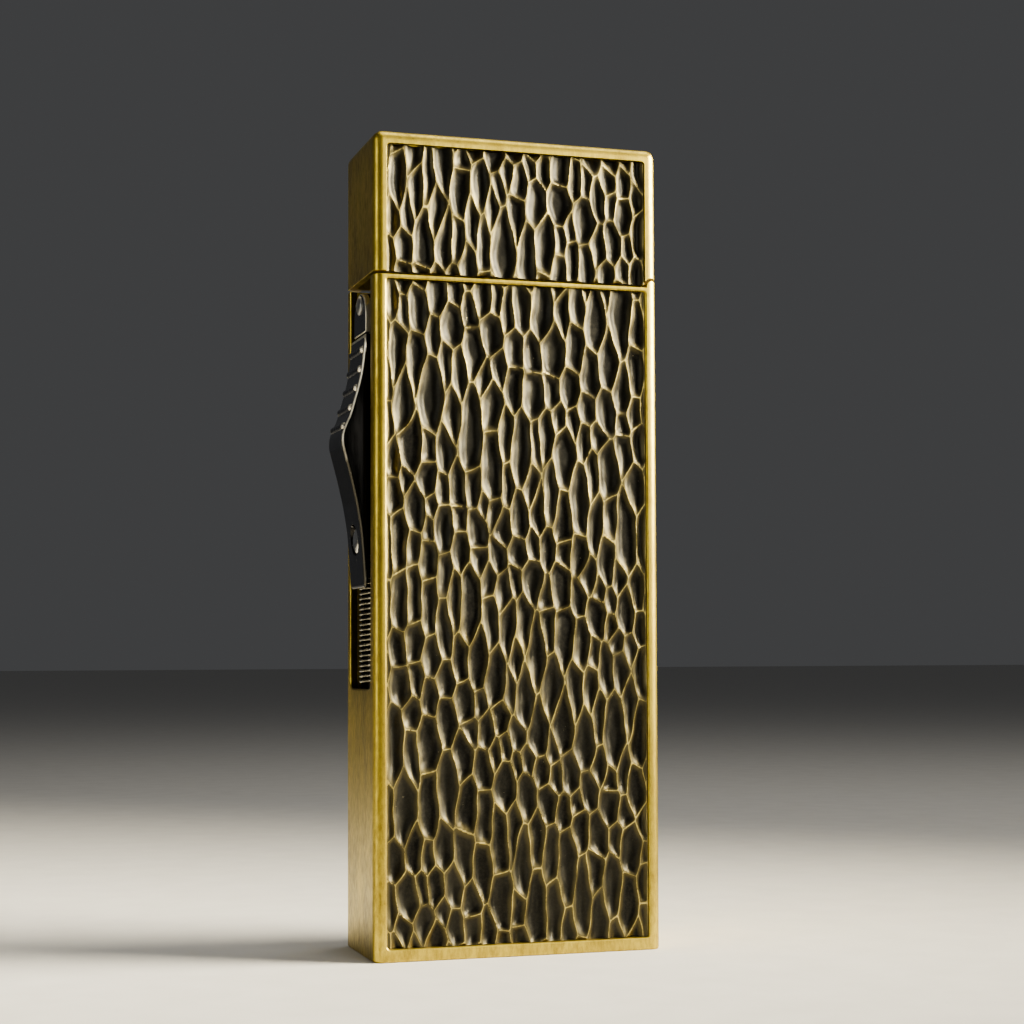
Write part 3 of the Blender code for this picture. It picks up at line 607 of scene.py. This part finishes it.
BODY_PANEL, LID_PANEL = (1.23, 62.22), (62.97, 74.75)
for where, side in (("front", -1), ("back", 1)):
    sheet = hammered_panel(where + "_hammered_sheet", side, *BODY_PANEL, "case", where + "_inlay_body")
    lid_sheet = hammered_panel(where + "_hammered_lid_sheet", side, *LID_PANEL, "lid", where + "_inlay_lid")
    print(where, "sheets:", len(sheet.data.polygons), "and", len(lid_sheet.data.polygons), "faces")

# %% [markdown]
# ## Thumb lever
# The lever is one bar of steel with a hump for the thumb. Its outer face follows a smooth outline, steep
# on the upper side where the thumb pulls down, and long and gentle on the lower side. Five round bars
# with pale ends lie across the upper side as the grip. The pale ends are partly polished metal and partly
# painted highlights, and the bars themselves are a darker nickel as painted shade. A grid is bent to the
# outline, its outer columns and end rows fall away in a quarter circle as the rounded edges, and its
# middle is pressed in round the screw. The edges are rubbed through to pale metal, and on the upper part
# that pale colour is also a painted highlight.

# %% Thumb lever and its grip
LEVER_LOW, LEVER_TOP, LEVER_HALF, LEVER_BACK = 33.95, 57.5, 3.02, -13.32
OUTLINE = [(-14.08, 33.9), (-14.20, 36.2), (-14.34, 38.1), (-14.48, 39.5), (-14.72, 41.0), (-14.97, 42.3),
           (-15.49, 44.5), (-16.02, 46.5), (-16.19, 47.25), (-16.17, 48.15), (-15.85, 49.1), (-15.49, 49.9),
           (-15.05, 51.4), (-14.69, 52.7), (-14.44, 53.8), (-14.26, 55.0), (-14.11, 56.4), (-13.99, 57.5)]
GRIP_Z = (56.1, 54.3, 52.5, 50.65, 48.9)
GRIP_HALF, GRIP_ROUND = 2.62, 0.34
SCREW_Z, RIVET_Z = 38.5, 60.5
fine = curve_through(OUTLINE, 6)


def lever_x(z):
    return float(np.interp(z, [p[1] for p in fine], [p[0] for p in fine]))


EDGE_R, EDGE_COLUMNS, COLUMNS, ROWS = 0.27, 5, 40, 168
RECESS_R, RECESS_X, RIM_HALF = 1.48, -13.98, 0.07
THIN_Z, THIN_X, LEAST_X = 36.95, -13.91, -13.93
FOOT_R = 0.6


def column_place(share):
    """Across the lever: how far out a column stands, and how far its rounded edge falls back."""
    flat_columns = COLUMNS / 2 - EDGE_COLUMNS
    step = abs(share) * COLUMNS / 2 - flat_columns
    if step <= 0:
        return share * (LEVER_HALF - EDGE_R) * (COLUMNS / 2) / flat_columns, 0.0
    turn = math.pi / 2 * step / EDGE_COLUMNS
    return math.copysign(LEVER_HALF - EDGE_R + EDGE_R * math.sin(turn), share), EDGE_R * (1 - math.cos(turn))


bm = bmesh.new()
bmesh.ops.create_grid(bm, x_segments=COLUMNS, y_segments=ROWS, size=1.0)
for vert in bm.verts:
    z = LEVER_LOW + (vert.co.y + 1) / 2 * (LEVER_TOP - LEVER_LOW)
    y, back = column_place(vert.co.x)
    end = max(0.0, z - (LEVER_TOP - EDGE_R), LEVER_LOW + EDGE_R - z)
    back = max(back, EDGE_R - math.sqrt(max(0.0, EDGE_R ** 2 - end ** 2)))
    if z < LEVER_LOW + FOOT_R:  # the two lower corners are round
        rise = math.sqrt(max(0.0, FOOT_R ** 2 - (FOOT_R - z + LEVER_LOW) ** 2))
        y *= 1 - (FOOT_R - rise) / LEVER_HALF
    reach = math.hypot(y, z - SCREW_Z)
    x = lever_x(z) + back
    if reach < RECESS_R + RIM_HALF:
        if reach > RECESS_R - RIM_HALF:  # the rim of the recess
            y, z = y * RECESS_R / reach, SCREW_Z + (z - SCREW_Z) * RECESS_R / reach
        else:
            x = RECESS_X
    vert.co = Vector((min(x, LEAST_X), y, z))
grown = bmesh.ops.extrude_face_region(bm, geom=bm.faces[:])["geom"]
for vert in (g for g in grown if isinstance(g, bmesh.types.BMVert)):  # thin where it passes the coil
    vert.co.x = LEVER_BACK if vert.co.z > THIN_Z else THIN_X
bmesh.ops.remove_doubles(bm, verts=bm.verts, dist=0.001)
bmesh.ops.recalc_face_normals(bm, faces=bm.faces)
# Faces on the rounded sides and top end take the pale edge finish, partly wear and partly painted highlight.
wear_and_highlight = 0
for face in bm.faces:
    middle = face.calc_center_median()
    side = abs(middle.y) > LEVER_HALF - EDGE_R + 0.01 and 0.15 < abs(face.normal.y) < 0.97
    end = middle.z > LEVER_TOP - EDGE_R and abs(face.normal.y) < 0.9 and face.normal.x < -0.1
    face.material_index = 1 if side or end else 0
    wear_and_highlight += face.material_index
print("worn faces along the lever's edges:", wear_and_highlight)
grips = [cross_bar(0.36, (lever_x(z) + 0.10, z), -GRIP_HALF, GRIP_HALF, 20, GRIP_ROUND, 5)
         for z in GRIP_Z]
settle("thumb_lever_body", bm, black_nickel, "slide", ["thumb_lever"], angle=50,
       mats=(edge_nickel,))
grip_bm = gather(*grips)
# The bars' ends take the pale edge finish: partly polished metal, partly painted highlight dots.
for face in grip_bm.faces:
    face.material_index = 1 if abs(face.calc_center_median().y) > GRIP_HALF - 0.35 else 0
settle("lever_grip_bars", grip_bm, grip_painted_shade_nickel, "slide", (), angle=60, mats=(edge_nickel,))
print("grip bars:", len(GRIP_Z))

# %% Strap, screw and rivet on the slide
bm = whole("lever_strap")
old = set(bm.faces)
print("strap edges rounded:", soften(bm, 0.10, 3, lambda p: p.x < -13.8))
# The strap's newly rounded faces take the pale edge finish: partly rubbed metal, partly a painted highlight
# along the edge.
for face in bm.faces:
    if face not in old and face.calc_area() < 1.2:
        face.material_index = 1
settle("lever_strap_tongue", bm, black_nickel, "slide", ["lever_strap"], angle=40,
       mats=(edge_nickel,))
DOME_FOOT = 0.12
domes = []
for z, radius, low, high in ((SCREW_Z, 1.28, -14.06, -14.42), (RIVET_Z, 0.80, -13.88, -14.14)):
    bm = bmesh.new()
    bmesh.ops.create_uvsphere(bm, u_segments=40, v_segments=20, radius=1.0)
    bmesh.ops.delete(bm, geom=[v for v in bm.verts if v.co.z < -0.01], context="VERTS")
    bmesh.ops.transform(bm, matrix=Matrix.Rotation(math.radians(-90), 4, "Y"), verts=bm.verts)
    for vert in bm.verts:
        vert.co = Vector((low + vert.co.x * abs(high - low), vert.co.y * radius, z + vert.co.z * radius))
    grown = bmesh.ops.extrude_edge_only(bm, edges=[e for e in bm.edges if e.is_boundary])["geom"]
    for vert in (g for g in grown if isinstance(g, bmesh.types.BMVert)):
        vert.co.x += DOME_FOOT
    bmesh.ops.holes_fill(bm, edges=[e for e in bm.edges if e.is_boundary], sides=0)
    bmesh.ops.recalc_face_normals(bm, faces=bm.faces)
    domes.append(bm)
settle("lever_screw_dome", domes[0], bright_screw, "slide", ["lever_screw"], weighted=False)
settle("strap_rivet_dome", domes[1], satin_steel, "slide", ["strap_rivet"], weighted=False)
print("domes:", len(domes))

# %% [markdown]
# ## Return spring
# Drawn wire wound on a round bar: a small circle of wire is swept round an axis while it climbs one
# pitch a turn.

# %% Return spring
SPRING_X, COIL_R, WIRE_R, PITCH, PER_TURN = -12.02, 1.72, 0.14, 0.48, 26
COIL_LOW, COIL_HIGH, SEAT_Z, FREE_TOP, TRAVEL = 25.07, 36.73, 24.9, 36.9, 5.5
turns = (COIL_HIGH - COIL_LOW) / PITCH
bm = bmesh.new()
bmesh.ops.create_circle(bm, segments=10, radius=WIRE_R, matrix=Matrix.Translation((COIL_R, 0, COIL_LOW))
                        @ Matrix.Rotation(math.radians(90), 4, "X"))
steps = int(turns * PER_TURN)
bmesh.ops.spin(bm, geom=bm.verts[:] + bm.edges[:], cent=(0, 0, 0), axis=(0, 0, 1), steps=steps,
               angle=2 * math.pi * steps / PER_TURN, dvec=(0, 0, PITCH / PER_TURN))
bmesh.ops.holes_fill(bm, edges=[e for e in bm.edges if e.is_boundary], sides=0)
bmesh.ops.translate(bm, vec=(SPRING_X, 0, 0), verts=bm.verts)
bmesh.ops.recalc_face_normals(bm, faces=bm.faces)
coil = settle("return_spring_coil", bm, spring_wire, "case", ["return_spring"], angle=60,
              weighted=False)
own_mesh(coil)
print("spring:", round(turns, 1), "turns,", len(coil.data.polygons), "faces")

# %% [markdown]
# ## Inside and underneath
# The pieces that only show with the lid open, or from below, keep their CAD shapes. Each gets its own
# finish, and a small bevel takes the knife edge off the machined ones.

# %% Dress the remaining pieces
DRESS = (
    (turned_brass, 0.10, ("flint_tube", "flint_screw", "filler_screw", "wick_ferrule", "snuffer_cap")),
    (case_brass, 0.08, ("base_plate", "lid_hinge_leaf")),
    (black_nickel, 0.06, ("lid_liner", "channel_liner", "deck_plate")),
    (satin_steel, 0.06, ("hinge_pin", "slide_carriage", "wheel_axle", "rocker_pin", "lid_rocker",
                         "wind_guard")),
    (wheel_steel, 0.04, ("striker_wheel", "wheel_pinion")),
    (spring_wire, 0.0, ("flint_spring",)),
    (tin_plate, 0.15, ("fuel_tank",)),
    (felt, 0.12, ("snuffer_pad", "felt_pad")),
    (cotton, 0.3, ("cotton_packing",)),
    (wick_cord, 0.12, ("wick",)),
    (ferrocerium, 0.05, ("flint",)),
    (nitrile, 0.05, ("filler_seal",)),
)
for finish_mat, width_mm, names in DRESS:
    for name in names:
        node = nodes[name]
        node.data.materials.clear()
        node.data.materials.append(finish_mat)
        if width_mm:
            weld = node.modifiers.new("weld", "WELD")
            weld.merge_threshold = 0.002 * MM
            ease = node.modifiers.new("ease", "BEVEL")
            ease.width, ease.segments, ease.limit_method = width_mm * MM, 2, "ANGLE"
            ease.angle_limit, ease.use_clamp_overlap = math.radians(40), True
print("CAD pieces dressed:", sum(len(names) for _, _, names in DRESS))

# %% [markdown]
# The finished model's size is measured.

# %% Size of the finished model
low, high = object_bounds()
print("visual model:", [round((b - a) / MM, 2) for a, b in zip(low, high)], "mm")
